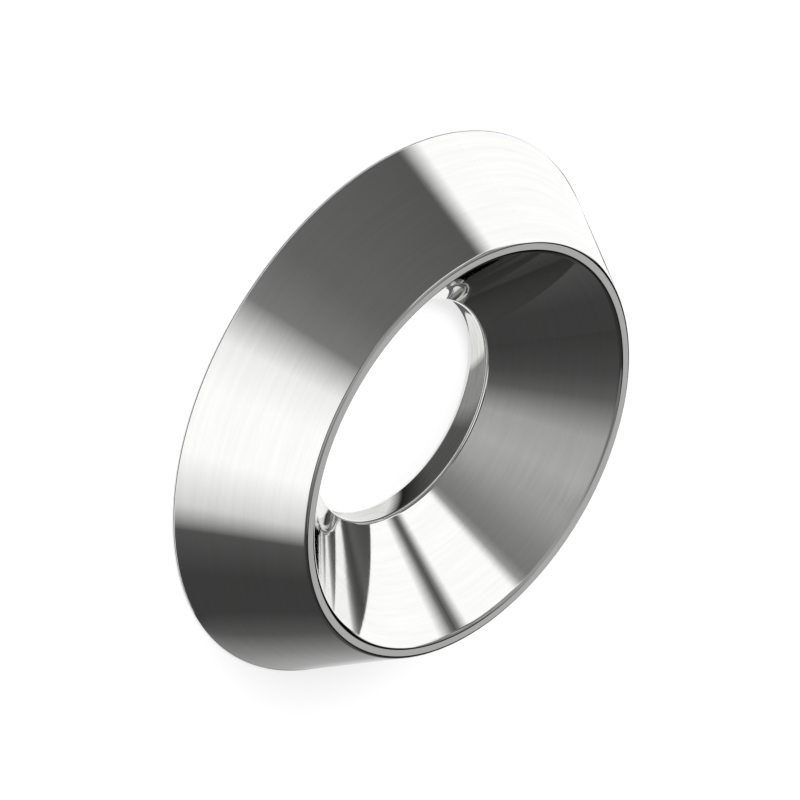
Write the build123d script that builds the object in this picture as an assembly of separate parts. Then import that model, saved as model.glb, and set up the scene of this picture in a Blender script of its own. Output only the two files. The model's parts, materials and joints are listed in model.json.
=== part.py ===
from build123d import *
import math
import os

# Finishing cup washer for a countersunk screw, turned in one piece from round bar.
# Its wide flat base rests on the panel, and the screw's head sinks into the crown.
# Origin: the centre of the base face. +Z runs up the screw's axis, towards the crown.
# Lengths are in millimetres and angles in degrees.

# The screw that the washer carries
THREAD_D = 6.0              # outer diameter of the thread
HEAD_D = 11.0               # widest part of the head
HEAD_CONE_ANGLE = 90.0      # whole angle of the head's cone

# Room left for the screw, on the diameter
THREAD_CLEARANCE = 0.3
HEAD_CLEARANCE = 0.25

# The washer's own form
BORE_DEPTH = 0.68           # from the base face up to the countersink
CROWN_WIDTH = 0.30          # flat ring between the countersink and the flank
FLANK_LEAN = 29.1           # slope of the outer cone, away from the axis
EDGE_HEIGHT = 0.05          # straight edge that keeps the rim of the base from being sharp

# Corners that are softened, each by its own size
CROWN_OUTER_ROUND = 0.13    # crown to flank
CROWN_INNER_ROUND = 0.20    # crown to countersink
THROAT_ROUND = 0.20         # countersink to bore
BORE_CHAMFER = 0.10         # bore to base face, where the cutter breaks through
BASE_ROUND = 0.03           # base face to the straight edge
EDGE_ROUND = 0.04           # straight edge to the flank

# Radii and heights that follow from the sizes above
bore_r = (THREAD_D + THREAD_CLEARANCE) / 2
mouth_r = (HEAD_D + HEAD_CLEARANCE) / 2
countersink_depth = (mouth_r - bore_r) / math.tan(math.radians(HEAD_CONE_ANGLE / 2))
height = BORE_DEPTH + countersink_depth
crown_r = mouth_r + CROWN_WIDTH
base_r = crown_r + (height - EDGE_HEIGHT) * math.tan(math.radians(FLANK_LEAN))

# Sharp corners of the turned section, as radius and height, in order round the outline
BORE_FOOT = (bore_r, 0)
BASE_RIM = (base_r, 0)
EDGE_TOP = (base_r, EDGE_HEIGHT)
CROWN_RIM = (crown_r, height)
MOUTH = (mouth_r, height)
THROAT = (bore_r, BORE_DEPTH)


def soften(section, corner, operation, size):
    """Return the section with one sharp corner rounded or chamfered."""
    vertex = section.vertices().sort_by_distance((*corner, 0))[0]
    return operation(vertex, size)


def turned_section():
    """Half of the washer's cross-section, on one side of the axis."""
    outline = Polyline(BORE_FOOT, BASE_RIM, EDGE_TOP, CROWN_RIM, MOUTH, THROAT, close=True)
    section = make_face(outline)
    section = soften(section, CROWN_RIM, fillet, CROWN_OUTER_ROUND)
    section = soften(section, MOUTH, fillet, CROWN_INNER_ROUND)
    section = soften(section, THROAT, fillet, THROAT_ROUND)
    section = soften(section, BORE_FOOT, chamfer, BORE_CHAMFER)
    section = soften(section, BASE_RIM, fillet, BASE_ROUND)
    section = soften(section, EDGE_TOP, fillet, EDGE_ROUND)
    return section


def cup_washer():
    """The whole washer: its section, stood up on the base and turned round the axis."""
    return revolve(Plane.XZ * turned_section(), Axis.Z)


washer = cup_washer()
print(f"base diameter {2 * base_r:.3f}, crown diameter {2 * crown_r:.3f}, height {height:.3f}")
print(f"bore diameter {2 * bore_r:.3f}, mouth diameter {2 * mouth_r:.3f}")
print(f"one solid of {washer.volume:.2f} cubic millimetres")

os.makedirs("parts", exist_ok=True)
export_step(washer, "parts/cup_washer.step")
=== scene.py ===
# %% [markdown]
# # A finishing cup washer, turned and buffed
#
# The object is a small solid ring that goes under the head of a countersunk screw.
# It is one piece of stainless steel, 15 mm across, turned on a lathe and buffed
# until it mirrors the room. So this lesson is about four things: the camera, the
# turned form, the finish of the metal, and the little studio that the metal mirrors.

# %% Load the frame
import json
import math
from collections import Counter

import bpy
from mathutils import Matrix, Vector


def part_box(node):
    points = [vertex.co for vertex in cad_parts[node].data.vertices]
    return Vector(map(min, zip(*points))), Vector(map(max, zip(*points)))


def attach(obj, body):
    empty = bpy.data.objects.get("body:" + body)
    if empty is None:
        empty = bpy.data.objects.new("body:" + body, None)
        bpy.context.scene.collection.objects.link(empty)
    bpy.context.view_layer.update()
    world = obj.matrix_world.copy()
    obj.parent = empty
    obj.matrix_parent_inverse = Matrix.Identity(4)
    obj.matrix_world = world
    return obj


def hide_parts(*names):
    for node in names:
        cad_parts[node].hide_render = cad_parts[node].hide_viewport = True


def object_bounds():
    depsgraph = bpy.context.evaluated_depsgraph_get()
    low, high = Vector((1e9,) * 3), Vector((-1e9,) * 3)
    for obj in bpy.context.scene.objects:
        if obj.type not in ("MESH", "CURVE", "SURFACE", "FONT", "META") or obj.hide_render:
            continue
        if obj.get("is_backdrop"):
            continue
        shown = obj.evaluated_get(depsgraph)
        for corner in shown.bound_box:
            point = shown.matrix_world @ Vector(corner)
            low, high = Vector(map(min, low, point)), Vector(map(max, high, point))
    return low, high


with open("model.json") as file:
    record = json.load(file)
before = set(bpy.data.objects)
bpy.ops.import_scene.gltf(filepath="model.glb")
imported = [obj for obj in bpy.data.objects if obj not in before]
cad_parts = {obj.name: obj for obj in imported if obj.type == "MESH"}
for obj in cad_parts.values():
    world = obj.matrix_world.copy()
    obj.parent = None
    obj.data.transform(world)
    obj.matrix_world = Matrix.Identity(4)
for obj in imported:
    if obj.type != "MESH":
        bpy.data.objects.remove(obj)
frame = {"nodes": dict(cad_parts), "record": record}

bpy.context.view_layer.update()
cad_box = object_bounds()
low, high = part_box("cup_washer")
MM = 0.001
print("washer, in mm:", [round(side / MM, 2) for side in high - low])

# %% [markdown]
# ## The scene's own settings
#
# Blender's Standard view transform shows a colour about as it is written, with no
# film look over it. Everything else in the view settings stays as it comes.

# %% View transform
scene = bpy.context.scene
scene.view_settings.view_transform = "Standard"
print("view transform:", scene.view_settings.view_transform)

# %% [markdown]
# ## The camera
#
# The photograph is a parallel projection along the diagonal of a cube: the axis of
# the washer is 35.26 degrees out of the picture plane, and nothing gets smaller with
# distance. An orthographic camera does that. The washer lies flat on the floor here,
# so the camera looks down at it by that angle, and then rolls about its own line of
# sight until the axis points to the lower right, as it does in the photograph.

# %% Camera
ELEVATION = math.degrees(math.atan(1 / math.sqrt(2)))
ROLL = 120.0
FRAME_WIDTH = 20.71 * MM
WASHER_LEFT_OF_CENTRE = 0.466 * MM
CAMERA_DISTANCE = 60 * MM
NEAREST_SEEN = 1 * MM
FARTHEST_SEEN = 2000 * MM

camera_data = bpy.data.cameras.new("camera")
camera_data.type = "ORTHO"
camera_data.ortho_scale = FRAME_WIDTH
camera_data.clip_start = NEAREST_SEEN
camera_data.clip_end = FARTHEST_SEEN
camera = bpy.data.objects.new("camera", camera_data)
scene.collection.objects.link(camera)
scene.camera = camera

tilt = Matrix.Rotation(math.radians(90 - ELEVATION), 4, "X")
roll = Matrix.Rotation(math.radians(ROLL), 4, "Z")
shift = Matrix.Translation((WASHER_LEFT_OF_CENTRE, 0, CAMERA_DISTANCE))
camera.matrix_world = tilt @ roll @ shift
print("camera looks down by", round(ELEVATION, 2), "degrees, rolled by", ROLL)

# %% [markdown]
# ## The washer's section
#
# A turned part is known by its section, the outline that the lathe's tool follows
# while the bar spins. This one has a wide flat base with a hair of straight edge, a flank
# that leans inwards, a narrow flat crown, a seat at 45 degrees for the screw's head and a
# short bore. The base, the height and the bore come from the CAD frame, and the rest
# are the part's own named sizes. Each corner has the radius that buffing leaves on it,
# and 0 stands for a corner that stays sharp. The finishes are those of the runs between
# two corners, and the base face comes first.

# %% Section
bore = next(mount for mount in frame["record"]["mounts"] if mount["name"] == "bore")
BORE_R = bore["dims"]["r_mm"] * MM
BASE_R = high.x
HEIGHT = high.z
BORE_DEPTH = 0.68 * MM
CROWN_WIDTH = 0.30 * MM
EDGE_HEIGHT = 0.05 * MM
BORE_CHAMFER = 0.10 * MM
BASE_ROUND = 0.03 * MM
EDGE_ROUND = 0.04 * MM
CROWN_OUTER_ROUND = 0.13 * MM
CROWN_INNER_ROUND = 0.20 * MM
THROAT_ROUND = 0.20 * MM

mouth_r = BORE_R + HEIGHT - BORE_DEPTH
crown_r = mouth_r + CROWN_WIDTH
corners = [
    ((BORE_R + BORE_CHAMFER, 0), 0),
    ((BASE_R, 0), BASE_ROUND),
    ((BASE_R, EDGE_HEIGHT), EDGE_ROUND),
    ((crown_r, HEIGHT), CROWN_OUTER_ROUND),
    ((mouth_r, HEIGHT), CROWN_INNER_ROUND),
    ((BORE_R, BORE_DEPTH), THROAT_ROUND),
    ((BORE_R, BORE_CHAMFER), 0),
]
FINISH_OF_RUN = ["faced", "buffed", "buffed", "buffed", "buffed", "reamed", "reamed"]
print("mouth and crown diameter, in mm:", round(2 * mouth_r / MM, 2), round(2 * crown_r / MM, 2))

# %% [markdown]
# ## Softened corners
#
# On a mirror finish a corner is never a line. It is a tiny round that squeezes half
# the room into a bright or dark thread, so it needs its true arc and true normals.
# The functions below walk round the section and turn each corner into an arc that is
# tangent to both of its sides, and they keep the normal of each point with it. A
# bevel modifier could round the corners too, but its normals are averages of the
# faces beside them, and a mirror shows that.

# %% Arcs
ARC_STEPS = 10


def outward(a, b):
    """The normal of the side from a to b, for a section that is walked counter-clockwise."""
    along = (b - a).normalized()
    return Vector((along.y, -along.x))


def softened(before, corner, after, radius):
    """Points and normals along one corner: an arc, or the same point twice where it stays sharp."""
    first, last = outward(before, corner), outward(corner, after)
    if radius == 0:
        return [(corner, first), (corner, last)]
    reach = radius * math.tan(first.angle(last) / 2)
    centre = corner + (before - corner).normalized() * reach - first * radius
    normals = [first.slerp(last, i / ARC_STEPS) for i in range(ARC_STEPS + 1)]
    return [(centre + normal * radius, normal) for normal in normals]


def section_strips():
    """Every strip of the section: its two ends, each a point and a normal, and its finish."""
    points = [Vector(place) for place, radius in corners]
    arcs = []
    for i, (place, radius) in enumerate(corners):
        arcs.append(softened(points[i - 1], points[i], points[(i + 1) % len(points)], radius))
    strips = []
    for i, arc in enumerate(arcs):
        if corners[i][1] > 0:
            strips += [(arc[j], arc[j + 1], "buffed") for j in range(ARC_STEPS)]
        strips.append((arc[-1], arcs[(i + 1) % len(arcs)][0], FINISH_OF_RUN[i]))
    return strips


strips = section_strips()
print("the section has", len(strips), "strips")

# %% [markdown]
# ## Helpers for materials
#
# Colours are written as sRGB hex, the way a paint chart gives them, and Blender works
# in linear light, so one function turns one into the other. Another one adds a node,
# sets it up and joins its inputs in one line, so that a material reads as a recipe.

# %% Material helpers
def linear(hex_colour):
    """An sRGB hex colour as linear red, green, blue and alpha."""
    channels = [int(hex_colour[i:i + 2], 16) / 255 for i in (1, 3, 5)]
    return [c / 12.92 if c <= 0.04045 else ((c + 0.055) / 1.055) ** 2.4 for c in channels] + [1.0]


def add(tree, kind, settings=None, **inputs):
    """Add a node, set its properties, and fill its inputs, named or as i0, i1, with values or sockets."""
    node = tree.nodes.new(kind)
    for name, value in (settings or {}).items():
        setattr(node, name, value)
    for key, value in inputs.items():
        numbered = key[0] == "i" and key[1:].isdigit()
        socket = node.inputs[int(key[1:])] if numbered else node.inputs[key.replace("_", " ")]
        if isinstance(value, bpy.types.NodeSocket):
            tree.links.new(value, socket)
        else:
            socket.default_value = value
    return node


def new_material(name):
    """An empty node material and its tree."""
    material = bpy.data.materials.new(name)
    material.use_nodes = True
    material.node_tree.nodes.clear()
    return material, material.node_tree


print("buffed steel is", [round(c, 3) for c in linear("#f4f4f3")])

# %% [markdown]
# ## Marks that run round the axis
#
# Whatever touches a part on the lathe, the tool, the reamer or the buffing wheel,
# leaves marks that run round the axis. So the pattern of this metal is made in the
# lathe's own terms: distance from the axis, height, and angle. The angle goes in as
# its cosine and sine, which meet without a seam, and counts for so little that each
# mark becomes a long arc that fades in and out. Stretched noise on a flat texture map
# would need an unwrapped mesh, and this needs none.

# %% Ring marks
NOISE_ROUGHNESS = 0.6
NOISE_LOW = 0.3
NOISE_HIGH = 0.7


def times(tree, value, factor):
    """One number socket multiplied by a plain number."""
    return add(tree, "ShaderNodeMath", {"operation": "MULTIPLY"}, i0=value, i1=factor).outputs[0]


def ring_marks(tree, pitch, arc, detail=2.0):
    """Noise in rings about the axis. pitch is in millimetres, and a larger arc makes shorter marks."""
    place = add(tree, "ShaderNodeTexCoord").outputs["Object"]
    spot = add(tree, "ShaderNodeSeparateXYZ", Vector=place).outputs
    level = add(tree, "ShaderNodeCombineXYZ", X=spot["X"], Y=spot["Y"]).outputs[0]
    radius = add(tree, "ShaderNodeVectorMath", {"operation": "LENGTH"}, i0=level).outputs["Value"]
    round_axis = add(tree, "ShaderNodeVectorMath", {"operation": "NORMALIZE"}, i0=level).outputs[0]
    turn = add(tree, "ShaderNodeSeparateXYZ", Vector=round_axis).outputs
    per_metre = 1 / (pitch * MM)
    across = add(tree, "ShaderNodeCombineXYZ", X=times(tree, radius, per_metre),
                 Y=times(tree, spot["Z"], per_metre), Z=times(tree, turn["X"], arc))
    noise = add(tree, "ShaderNodeTexNoise", {"noise_dimensions": "4D"}, Vector=across.outputs[0],
                W=times(tree, turn["Y"], arc), Scale=1.0, Detail=detail,
                Roughness=NOISE_ROUGHNESS)
    return noise.outputs["Fac"]


def between(tree, value, lowest, highest):
    """Noise, which mostly lies from NOISE_LOW to NOISE_HIGH, spread over lowest to highest."""
    return add(tree, "ShaderNodeMapRange", Value=value, From_Min=NOISE_LOW, From_Max=NOISE_HIGH,
               To_Min=lowest, To_Max=highest).outputs[0]


print("one turn of the bore is", round(2 * math.pi * BORE_R / MM, 1), "mm of marks")

# %% [markdown]
# ## Stainless steel, turned and buffed
#
# The edge, the flank, the crown and the seat were buffed on a soft wheel after turning.
# That gives the eye a neutral mirror with hardly any haze, in which only the last traces
# of the tool run round as hairlines, a little wavy in depth. Real buffing lines lie
# about 0.01 mm apart, which is finer than a pixel here, so they are drawn at 0.14 mm,
# only as deep as it takes to see them. Over a few millimetres the wheel pressed more
# or less hard, and the haze comes and goes with that.

# %% Buffed steel
STEEL_BRIGHT = "#f6f6f5"
STEEL_DULL = "#efefed"
BUFFING_PITCH = 0.14
BUFFING_DEPTH = 0.00022 * MM
BUFFING_ARC = 2.2
BUFFING_DETAIL = 3.0
HAIRLINE_HAZE = (0.01, 0.03)
PRESSURE_PATCH = 2.6
PRESSURE_HAZE = (0.01, 0.035)


def buffed_steel():
    material, tree = new_material("washer_stainless_buffed")
    hairlines = ring_marks(tree, BUFFING_PITCH, BUFFING_ARC, BUFFING_DETAIL)
    place = add(tree, "ShaderNodeTexCoord").outputs["Object"]
    patches = add(tree, "ShaderNodeTexNoise", Vector=place, Scale=1 / (PRESSURE_PATCH * MM), Detail=1.0)
    colour = add(tree, "ShaderNodeMix", {"data_type": "RGBA"}, Factor=between(tree, hairlines, 0, 1))
    colour.inputs["A"].default_value = linear(STEEL_BRIGHT)
    colour.inputs["B"].default_value = linear(STEEL_DULL)
    haze = add(tree, "ShaderNodeMath", {"operation": "ADD"}, i0=between(tree, hairlines, *HAIRLINE_HAZE),
               i1=between(tree, patches.outputs["Fac"], *PRESSURE_HAZE))
    relief = add(tree, "ShaderNodeBump", Height=hairlines, Distance=BUFFING_DEPTH)
    body = add(tree, "ShaderNodeBsdfPrincipled", Base_Color=colour.outputs["Result"], Metallic=1.0,
               Roughness=haze.outputs[0], Normal=relief.outputs[0])
    add(tree, "ShaderNodeOutputMaterial", Surface=body.outputs[0])
    return material


print("buffing lines drawn per mm:", round(1 / BUFFING_PITCH, 1))

# %% [markdown]
# ## The reamed bore and the faced base
#
# The wheel doesn't reach into the bore, and nobody buffs a face that lies on the
# panel. The bore keeps the fine rings of the reamer, and the base the rings of the
# facing tool, one for each turn of the lathe. Both are the same steel with more haze
# and deeper marks, so one function makes both, from the pitch, the depth and the haze.
# Facing leaves rings about 0.05 mm apart, and they are drawn at 0.12 mm to show.

# %% Cut steel
STEEL_CUT_BRIGHT = "#e9e9e7"
STEEL_CUT_DULL = "#d6d6d3"
RING_ARC = 0.5
SCRATCH_ARC = 4.0
SCRATCH_SHARE = 0.4
HAZE_SPREAD = 0.2


def cut_steel(name, pitch, depth, haze):
    material, tree = new_material(name)
    rings = ring_marks(tree, pitch, RING_ARC)
    scratches = ring_marks(tree, pitch / 2, SCRATCH_ARC)
    marks = add(tree, "ShaderNodeMath", {"operation": "MULTIPLY_ADD"}, i0=scratches, i1=SCRATCH_SHARE,
                i2=rings)
    colour = add(tree, "ShaderNodeMix", {"data_type": "RGBA"}, Factor=between(tree, scratches, 0, 1))
    colour.inputs["A"].default_value = linear(STEEL_CUT_BRIGHT)
    colour.inputs["B"].default_value = linear(STEEL_CUT_DULL)
    relief = add(tree, "ShaderNodeBump", Height=marks.outputs[0], Distance=depth)
    haze_of_ring = between(tree, rings, (1 - HAZE_SPREAD) * haze, (1 + HAZE_SPREAD) * haze)
    body = add(tree, "ShaderNodeBsdfPrincipled", Base_Color=colour.outputs["Result"], Metallic=1.0,
               Roughness=haze_of_ring, Normal=relief.outputs[0])
    add(tree, "ShaderNodeOutputMaterial", Surface=body.outputs[0])
    return material


finishes = {
    "buffed": buffed_steel(),
    "reamed": cut_steel("washer_stainless_reamed", pitch=0.08, depth=0.0006 * MM, haze=0.06),
    "faced": cut_steel("washer_stainless_faced", pitch=0.12, depth=0.0020 * MM, haze=0.24),
}
print("finishes:", [material.name for material in finishes.values()])

# %% [markdown]
# ## Turning the washer
#
# The CAD frame's own mesh is right in form, but its facets are made for checks: a
# round of a tenth of a millimetre has only two or three of them, and a mirror turns
# those into jagged specks. So the same section is turned once more, in steps of one
# degree. Each corner of each face gets its true normal. A screw modifier turns a
# profile too, but it can't carry the section's own normals round.

# %% Lathe
TURN_STEPS = 360


def turned(vector, i):
    """A point or a normal of the section, given as radius and height, at step i of the turn."""
    angle = 2 * math.pi * i / TURN_STEPS
    return (vector.x * math.cos(angle), vector.x * math.sin(angle), vector.y)


def turned_mesh(name, strips):
    """The closed mesh of a section, with one ring of vertices at the start of each strip."""
    points = [turned(start[0], i) for start, end, finish in strips for i in range(TURN_STEPS)]
    faces, normals, slots = [], [], []
    order = list(finishes)
    for k, (start, end, finish) in enumerate(strips):
        here, there = k * TURN_STEPS, (k + 1) % len(strips) * TURN_STEPS
        for i in range(TURN_STEPS):
            j = (i + 1) % TURN_STEPS
            faces.append((here + i, here + j, there + j, there + i))
            normals += [turned(start[1], i), turned(start[1], j), turned(end[1], j), turned(end[1], i)]
            slots.append(order.index(finish))
    mesh = bpy.data.meshes.new(name)
    mesh.from_pydata(points, [], faces)
    for material in finishes.values():
        mesh.materials.append(material)
    mesh.polygons.foreach_set("material_index", slots)
    mesh.shade_smooth()
    mesh.normals_split_custom_set(normals)
    return mesh


def is_closed(mesh):
    """Whether every edge of the mesh belongs to exactly two faces."""
    faces_at = Counter(edge for face in mesh.polygons for edge in face.edge_keys)
    return set(faces_at.values()) == {2}


washer = bpy.data.objects.new("cup_washer_turned", turned_mesh("cup_washer_turned", strips))
scene.collection.objects.link(washer)
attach(washer, "root")
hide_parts("cup_washer")
print("faces:", len(washer.data.polygons), "closed:", is_closed(washer.data))

# %% [markdown]
# ## Does it keep the CAD form?
#
# A piece that stands for a CAD node has to keep its shape. Every vertex of the CAD
# mesh lies on the real surface, so each one is brought back to the section's plane
# and its distance to the nearest strip is measured. The largest should be well under
# a hundredth of a millimetre.

# %% Compare with the CAD node
def distance_to_strip(point, a, b):
    """How far a point of the section's plane lies from the straight line between a and b."""
    share = (point - a).dot(b - a) / (b - a).length_squared
    return (point - a - (b - a) * min(1.0, max(0.0, share))).length


def farthest_vertex(node):
    """The largest distance from a vertex of the CAD node to the section, in millimetres."""
    worst = 0.0
    for vertex in node.data.vertices:
        spot = Vector((math.hypot(vertex.co.x, vertex.co.y), vertex.co.z))
        worst = max(worst, min(distance_to_strip(spot, start[0], end[0]) for start, end, finish in strips))
    return worst / MM


print("farthest CAD vertex, in mm:", round(farthest_vertex(frame["nodes"]["cup_washer"]), 4))

# %% [markdown]
# ## The floor
#
# The floor is a plain sheet of white card under the washer. It takes the washer's
# soft shadow like any matt card. So that it reaches the clean white of the
# photograph's background, a part of its whiteness is light of its own, shown to the
# camera and to everything that mirrors or looks through, which keeps the reflections
# of the floor as white as the floor.
#
# Two faces in one plane flicker, so the sheet lies a hair below the base face. Its
# back is clear, so that a view from below shows the base.

# %% Floor
FLOOR_SIZE = 1000 * MM
FLOOR_LEVEL = -0.02 * MM
FLOOR_CARD = "#bababa"
FLOOR_GLOW = 0.60


def seen_directly(tree):
    """1 for camera, mirror and see-through rays, and 0 for the soft light that bounces about."""
    path = add(tree, "ShaderNodeLightPath").outputs
    either = add(tree, "ShaderNodeMath", {"operation": "MAXIMUM"}, i0=path["Is Camera Ray"],
                 i1=path["Is Glossy Ray"])
    either = add(tree, "ShaderNodeMath", {"operation": "MAXIMUM"}, i0=either.outputs[0],
                 i1=path["Is Transmission Ray"])
    return either.outputs[0]


def floor_material():
    material, tree = new_material("floor_white_card")
    card = add(tree, "ShaderNodeBsdfDiffuse", Color=linear(FLOOR_CARD))
    glow = add(tree, "ShaderNodeEmission", Strength=times(tree, seen_directly(tree), FLOOR_GLOW))
    both = add(tree, "ShaderNodeAddShader", i0=card.outputs[0], i1=glow.outputs[0])
    from_below = add(tree, "ShaderNodeNewGeometry").outputs["Backfacing"]
    clear = add(tree, "ShaderNodeBsdfTransparent")
    sheet = add(tree, "ShaderNodeMixShader", i0=from_below, i1=both.outputs[0], i2=clear.outputs[0])
    add(tree, "ShaderNodeOutputMaterial", Surface=sheet.outputs[0])
    return material


def staged(name, points, faces, material):
    """Link a mesh that belongs to the studio and not to the washer."""
    mesh = bpy.data.meshes.new(name)
    mesh.from_pydata(points, [], faces)
    mesh.materials.append(material)
    made = bpy.data.objects.new(name, mesh)
    scene.collection.objects.link(made)
    made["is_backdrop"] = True
    return made


half = FLOOR_SIZE / 2
square = [(x, y, FLOOR_LEVEL) for x, y in [(-half, -half), (half, -half), (half, half), (-half, half)]]
staged("floor", square, [(0, 1, 2, 3)], floor_material())
print("floor, in mm:", round(FLOOR_SIZE / MM))

# %% [markdown]
# ## Soft light
#
# Most of the light comes evenly from the whole sky, as in a white room. One broad round
# lamp adds the rest, high up and 45 degrees round from the camera, so that the washer
# throws a soft shadow. Together they come to about 1, the level at which a colour shows
# as it is written. Directly, and in mirrors, the sky is plain white.

# %% World and lamp
SKY_FILL = 0.6
LAMP_SIZE = 70 * MM
LAMP_DISTANCE = 150 * MM
LAMP_AZIMUTH = 225.0
LAMP_ELEVATION = 50.0
LAMP_POWER = 0.115


def direction(azimuth, elevation):
    """A unit vector, with azimuth counted from +X towards +Y."""
    a, e = math.radians(azimuth), math.radians(elevation)
    return Vector((math.cos(a) * math.cos(e), math.sin(a) * math.cos(e), math.sin(e)))


world = bpy.data.worlds.new("studio")
scene.world = world
world.use_nodes = True
sky = world.node_tree
sky.nodes.clear()
level = add(sky, "ShaderNodeMapRange", Value=seen_directly(sky), To_Min=SKY_FILL, To_Max=1.0)
air = add(sky, "ShaderNodeBackground", Color=(1, 1, 1, 1), Strength=level.outputs[0])
add(sky, "ShaderNodeOutputWorld", Surface=air.outputs[0])

lamp_data = bpy.data.lights.new("key_lamp", "AREA")
lamp_data.shape = "DISK"
lamp_data.size = LAMP_SIZE
lamp_data.energy = LAMP_POWER
lamp = bpy.data.objects.new("key_lamp", lamp_data)
scene.collection.objects.link(lamp)
toward = direction(LAMP_AZIMUTH, LAMP_ELEVATION)
lamp.location = toward * LAMP_DISTANCE
lamp.rotation_mode = "QUATERNION"
lamp.rotation_quaternion = toward.to_track_quat("Z", "Y")
lamp.visible_glossy = False
print("lamp stands at, in mm:", [round(x / MM) for x in lamp.location])

# %% [markdown]
# ## Cards for the metal to mirror
#
# A mirror has no look of its own: it shows what stands round it. Photographers put
# polished metal in a tent of white, grey and black cards, and so does this scene. Its
# cards are seen by mirrors alone. They light nothing, and they cast no shadow. Each
# one is a patch of a sphere round the washer, and a colour ramp paints it from one
# azimuth to the next, with a soft edge wherever two stops stand apart. The stops are
# the greys from 0 to 255 that the steel shows there, matched to the photograph and
# rounded, so a card is as much brighter than that as the steel is darker than white.

# %% Tent cards
TENT_RADIUS = 150 * MM
CARD_STEPS = 120
CARD_ROWS = 6
steel_reflects = linear(STEEL_BRIGHT)[1]


def card_material(name, stops):
    """Emission that follows the stops, pairs of azimuth and grey, from the first azimuth to the last."""
    material, tree = new_material(name)
    along = add(tree, "ShaderNodeAttribute", {"attribute_name": "along"})
    ramp = add(tree, "ShaderNodeValToRGB", Fac=along.outputs["Fac"])
    points = ramp.color_ramp.elements
    points.remove(points[0])
    first, last = stops[0][0], stops[-1][0]
    for i, (azimuth, grey) in enumerate(stops):
        at = (azimuth - first) / (last - first)
        point = points[0] if i == 0 else points.new(at)
        point.position = at
        point.color = linear("#" + 3 * f"{grey:02x}")
    glow = add(tree, "ShaderNodeEmission", Color=ramp.outputs["Color"], Strength=1 / steel_reflects)
    add(tree, "ShaderNodeOutputMaterial", Surface=glow.outputs[0])
    return material


def mirror_card(name, stops, place, rows=CARD_ROWS):
    """A card that only mirrors see. place gives a point from its shares of the way along and up."""
    points, faces, along = [], [], []
    for j in range(rows + 1):
        for i in range(CARD_STEPS + 1):
            points.append(place(i / CARD_STEPS, j / rows))
            along.append(i / CARD_STEPS)
    for j in range(rows):
        for i in range(CARD_STEPS):
            corner = j * (CARD_STEPS + 1) + i
            faces.append((corner, corner + 1, corner + CARD_STEPS + 2, corner + CARD_STEPS + 1))
    card = staged(name, points, faces, card_material(name, stops))
    card.data.attributes.new("along", "FLOAT", "POINT").data.foreach_set("value", along)
    card.visible_camera = False
    card.visible_diffuse = False
    card.visible_transmission = False
    card.visible_shadow = False
    return card


def tent_card(name, lowest, highest, stops, radius=TENT_RADIUS):
    """A card of the tent, between two elevations. A pair of them makes an edge that climbs."""
    first, last = stops[0][0], stops[-1][0]

    def edge(level, along):
        start, end = level if isinstance(level, tuple) else (level, level)
        return start + (end - start) * along

    def place(along, up):
        low_edge, high_edge = edge(lowest, along), edge(highest, along)
        return direction(first + (last - first) * along, low_edge + (high_edge - low_edge) * up) * radius

    return mirror_card(name, stops, place)


print("a white card glows at", round(1 / steel_reflects, 2))

# %% [markdown]
# ## The walls of the tent
#
# Azimuth -90 is the camera's side. The low wall is what the flank mirrors: a white
# window in front, dark walls to its left and right, and a white wall behind. Two
# black flags stand on either side of a grey card straight behind the washer. The
# flat crown mirrors that card, and its two rounds mirror the flags, which draws the
# crown as a pale ring between two dark threads. The high wall is what most of the
# seat mirrors, and the roof shows only in the rounds.
#
# A round sweeps through every height between two faces, so a white card there draws
# a stray white thread along the crown. The brows, the skirt and the visor hang a
# little nearer, just above or below the band that the seat mirrors, and turn those
# threads grey without touching the seat.

# %% Walls
ROOF_EDGE = 57
WALL_JOINT = 29
BELOW_FLOOR = -3
ZENITH = 89.9
BROW_FOOT = 42
REAR_BROW_FOOT = (42, 50)
SKIRT_FOOT = 28
SKIRT_TOP = (32, 45)
VISOR_FOOT = 27
VISOR_TOP = 43
BROW_RADIUS = 145 * MM
WHITE = 255
GREY_CARD = 170
FLAG = 5
FLAG_TOP = 15

low_wall = [
    (-188, WHITE), (-185, WHITE),
    (-176, 85), (-120, 100), (-98, 120),
    (-80, 240), (-62, WHITE), (-38, WHITE), (-18, 210),
    (-8, 80), (10, 60), (33, 60), (54, 75), (66, 45),
    (76, FLAG), (83, FLAG),
    (85, GREY_CARD), (95, GREY_CARD),
    (98, FLAG), (118, FLAG),
    (124, WHITE), (172, WHITE),
]
high_wall = [
    (-212, WHITE), (-152, WHITE),
    (-146, 150), (-140, 120), (-125, 130), (-95, 160), (-70, 170), (-42, 160),
    (-18, 90), (-5, 70), (25, 50), (60, 45),
    (72, FLAG_TOP), (81, FLAG_TOP),
    (84, GREY_CARD), (96, GREY_CARD),
    (99, FLAG_TOP), (118, FLAG_TOP),
    (124, WHITE), (148, WHITE),
]
roof = [(-180, 150), (-30, 150), (0, 105), (60, 105), (80, 160), (100, 160), (125, 145), (180, 150)]
brow = [(110, 30), (120, 120), (150, 135), (158, 150)]
rear_brow = [(176, 150), (184, 140), (200, 140), (205, 150)]
rear_skirt = [(-180, WHITE), (-175, 110), (-145, 105), (-140, 120)]
visor = [(-110, 120), (-92, 60), (-80, 30), (-36, 30), (-30, 70)]
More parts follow.
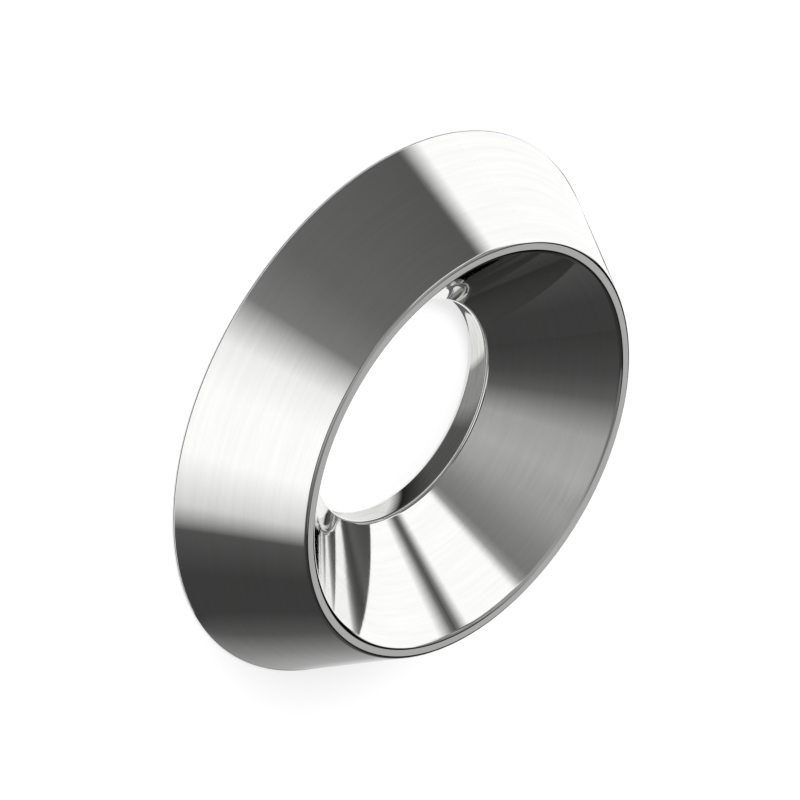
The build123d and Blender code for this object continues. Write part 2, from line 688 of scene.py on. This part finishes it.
walls = [
    tent_card("low_wall", BELOW_FLOOR, WALL_JOINT, low_wall),
    tent_card("high_wall", WALL_JOINT, ROOF_EDGE, high_wall),
    tent_card("roof", ROOF_EDGE, ZENITH, roof),
    tent_card("brow", BROW_FOOT, ROOF_EDGE, brow, BROW_RADIUS),
    tent_card("rear_brow", REAR_BROW_FOOT, ROOF_EDGE, rear_brow, BROW_RADIUS),
    tent_card("rear_skirt", SKIRT_FOOT, SKIRT_TOP, rear_skirt, BROW_RADIUS),
    tent_card("visor", VISOR_FOOT, VISOR_TOP, visor, BROW_RADIUS),
]
print("walls:", [wall.name for wall in walls])

# %% [markdown]
# ## The fin
#
# A narrow dark fin hangs in front of the white wall at the back left. The seat shows
# it three times: directly, as the thin dark streak at the bottom, after two bounces
# across the cup, as the dark wedge beside it, and after three, as a grey streak at the
# left. Its foot is narrow and soft, its blade is wider and a little paler in the
# middle, and its shoulder is there for the third image alone.

# %% Fin
FIN_RADIUS = 140 * MM
SHOULDER_RADIUS = 138 * MM
FOOT_BOTTOM = 26
FOOT_TOP = (35.5, 39)
BLADE_BOTTOM = (34.5, 39)
BLADE_TOP = 60
SHOULDER_BOTTOM = (30, 37.5)
SHOULDER_TOP = 43
foot = [(163, WHITE), (170, 110), (172, 80), (174, 125), (179, WHITE), (181, WHITE)]
blade = [(156, WHITE), (161, 80), (164, 70), (168, 95), (175, 70), (179, WHITE)]
shoulder = [(152, WHITE), (155, 170), (158, 110), (161, 80)]
fin = [
    tent_card("fin_foot", FOOT_BOTTOM, FOOT_TOP, foot, FIN_RADIUS),
    tent_card("fin_blade", BLADE_BOTTOM, BLADE_TOP, blade, FIN_RADIUS),
    tent_card("fin_shoulder", SHOULDER_BOTTOM, SHOULDER_TOP, shoulder, SHOULDER_RADIUS),
]
print("fin parts:", len(fin))

# %% [markdown]
# ## Cards on the floor
#
# Some mirror rays leave the washer downwards and meet the white floor close to it.
# The lower flank should go on in the dark tone of the right wall there, so a dark fan
# lies on the floor, spread from a point just under the base's rim. It starts at the
# rim, because the base face mirrors whatever lies under it. A narrow grey ring round
# the base is painted contact shade: it shows in the washer's edge alone, and draws its
# outline as a thin thread. A white sheet on the far floor hides the line where the
# floor meets the white wall. At its outline the flank mirrors the floor straight
# behind it, so a narrow grey strip there keeps the white flank apart from the white
# background.
#
# In the hole lies a disc of white with painted shade in one sector, in three greys,
# black, dark and light. The bore's wall and the rounded throat mirror it. A narrow
# ring of painted shade, grey and partly white, goes round it under the foot of the bore.

# %% Floor cards
CARD_LIFT = 0.01 * MM
JUST_ABOVE_FLOOR = FLOOR_LEVEL + CARD_LIFT
FAN_PIVOT = Vector((7.0 * MM, -2.4 * MM, JUST_ABOVE_FLOOR))
FAN_REACH = 170 * MM
RIM_INSET = 0.05 * MM
RIM_WIDTH = 0.08 * MM
FAR_FLOOR = 50 * MM
STRIP_START = Vector((-7.0 * MM, 3.05 * MM, JUST_ABOVE_FLOOR))
STRIP_END = Vector((-5.29 * MM, 7.28 * MM, JUST_ABOVE_FLOOR))
STRIP_WIDTH = 1.0 * MM
HOLE_CENTRE = Vector((0, 0, JUST_ABOVE_FLOOR))
LIP_INSET = 0.09 * MM


def to_rim(pivot, toward):
    """How far a point under the base lies from the rim of the base, along a direction."""
    lead = pivot.xy.dot(toward.xy)
    return math.sqrt(lead ** 2 - pivot.xy.length_squared + BASE_R ** 2) - lead


def floor_fan(name, pivot, inner, outer, stops):
    """A flat card like a fan or a ring, round a pivot. Without inner it starts at the base's rim."""
    first, last = stops[0][0], stops[-1][0]

    def place(along, up):
        toward = direction(first + (last - first) * along, 0)
        start = to_rim(pivot, toward) if inner is None else inner
        return pivot + toward * (start + (outer - start) * up)

    return mirror_card(name, stops, place, rows=1)


def floor_strip(name, start, end, width, stops):
    """A flat card along a line, widening from nothing towards -X. Its stops count along the line."""

    def place(along, up):
        return start + (end - start) * along + Vector((-width * along * up, 0, 0))

    return mirror_card(name, stops, place, rows=1)


fan = [(-10, 60), (30, 60), (50, 85), (70, 130), (86, 165), (104, WHITE)]
# The ring round the base: painted contact shade, one grey all round.
rim = [(-30, 90), (330, 90)]
far = [(104, WHITE), (188, WHITE)]
outline = [(0, 170), (45, 150), (80, 95), (112, WHITE)]
# The disc in the hole: white, with one sector of painted shade in three greys.
painted_shade_disc = [
    (-30, 240), (50, 240),
    (58, 30), (75, 85), (95, 90), (105, 150), (122, 150),
    (127, 240), (330, 240),
]
# The ring under the foot of the bore: painted shade, grey with one white stretch.
painted_lip_shade = [(-30, 120), (0, 120), (20, 240), (55, 240), (110, 90), (330, 120)]
floor_fan("floor_fan", FAN_PIVOT, None, FAN_REACH, fan)
floor_fan("rim_painted_shade_ring", HOLE_CENTRE, BASE_R - RIM_INSET, BASE_R + RIM_WIDTH, rim)
floor_fan("far_floor", HOLE_CENTRE, FAR_FLOOR, TENT_RADIUS, far)
floor_strip("outline_strip", STRIP_START, STRIP_END, STRIP_WIDTH, outline)
floor_fan("hole_painted_shade_disc", HOLE_CENTRE, 0, BORE_R - LIP_INSET, painted_shade_disc)
floor_fan("hole_lip_painted_shade", HOLE_CENTRE, BORE_R - LIP_INSET, BORE_R + BORE_CHAMFER, painted_lip_shade)
# The disc of painted shade in the hole ends just inside the bore.
print("paper in the hole, radius in mm:", round((BORE_R - LIP_INSET) / MM, 2))

# %% Finish
shown_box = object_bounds()
boxes = {"cad": cad_box, "shown": shown_box}
{name: [list(corner) for corner in box] for name, box in boxes.items()}
grown = [round((b - a) / MM, 4) for pair in zip(cad_box, shown_box) for a, b in zip(*pair)]
print("grew by, in mm:", grown)
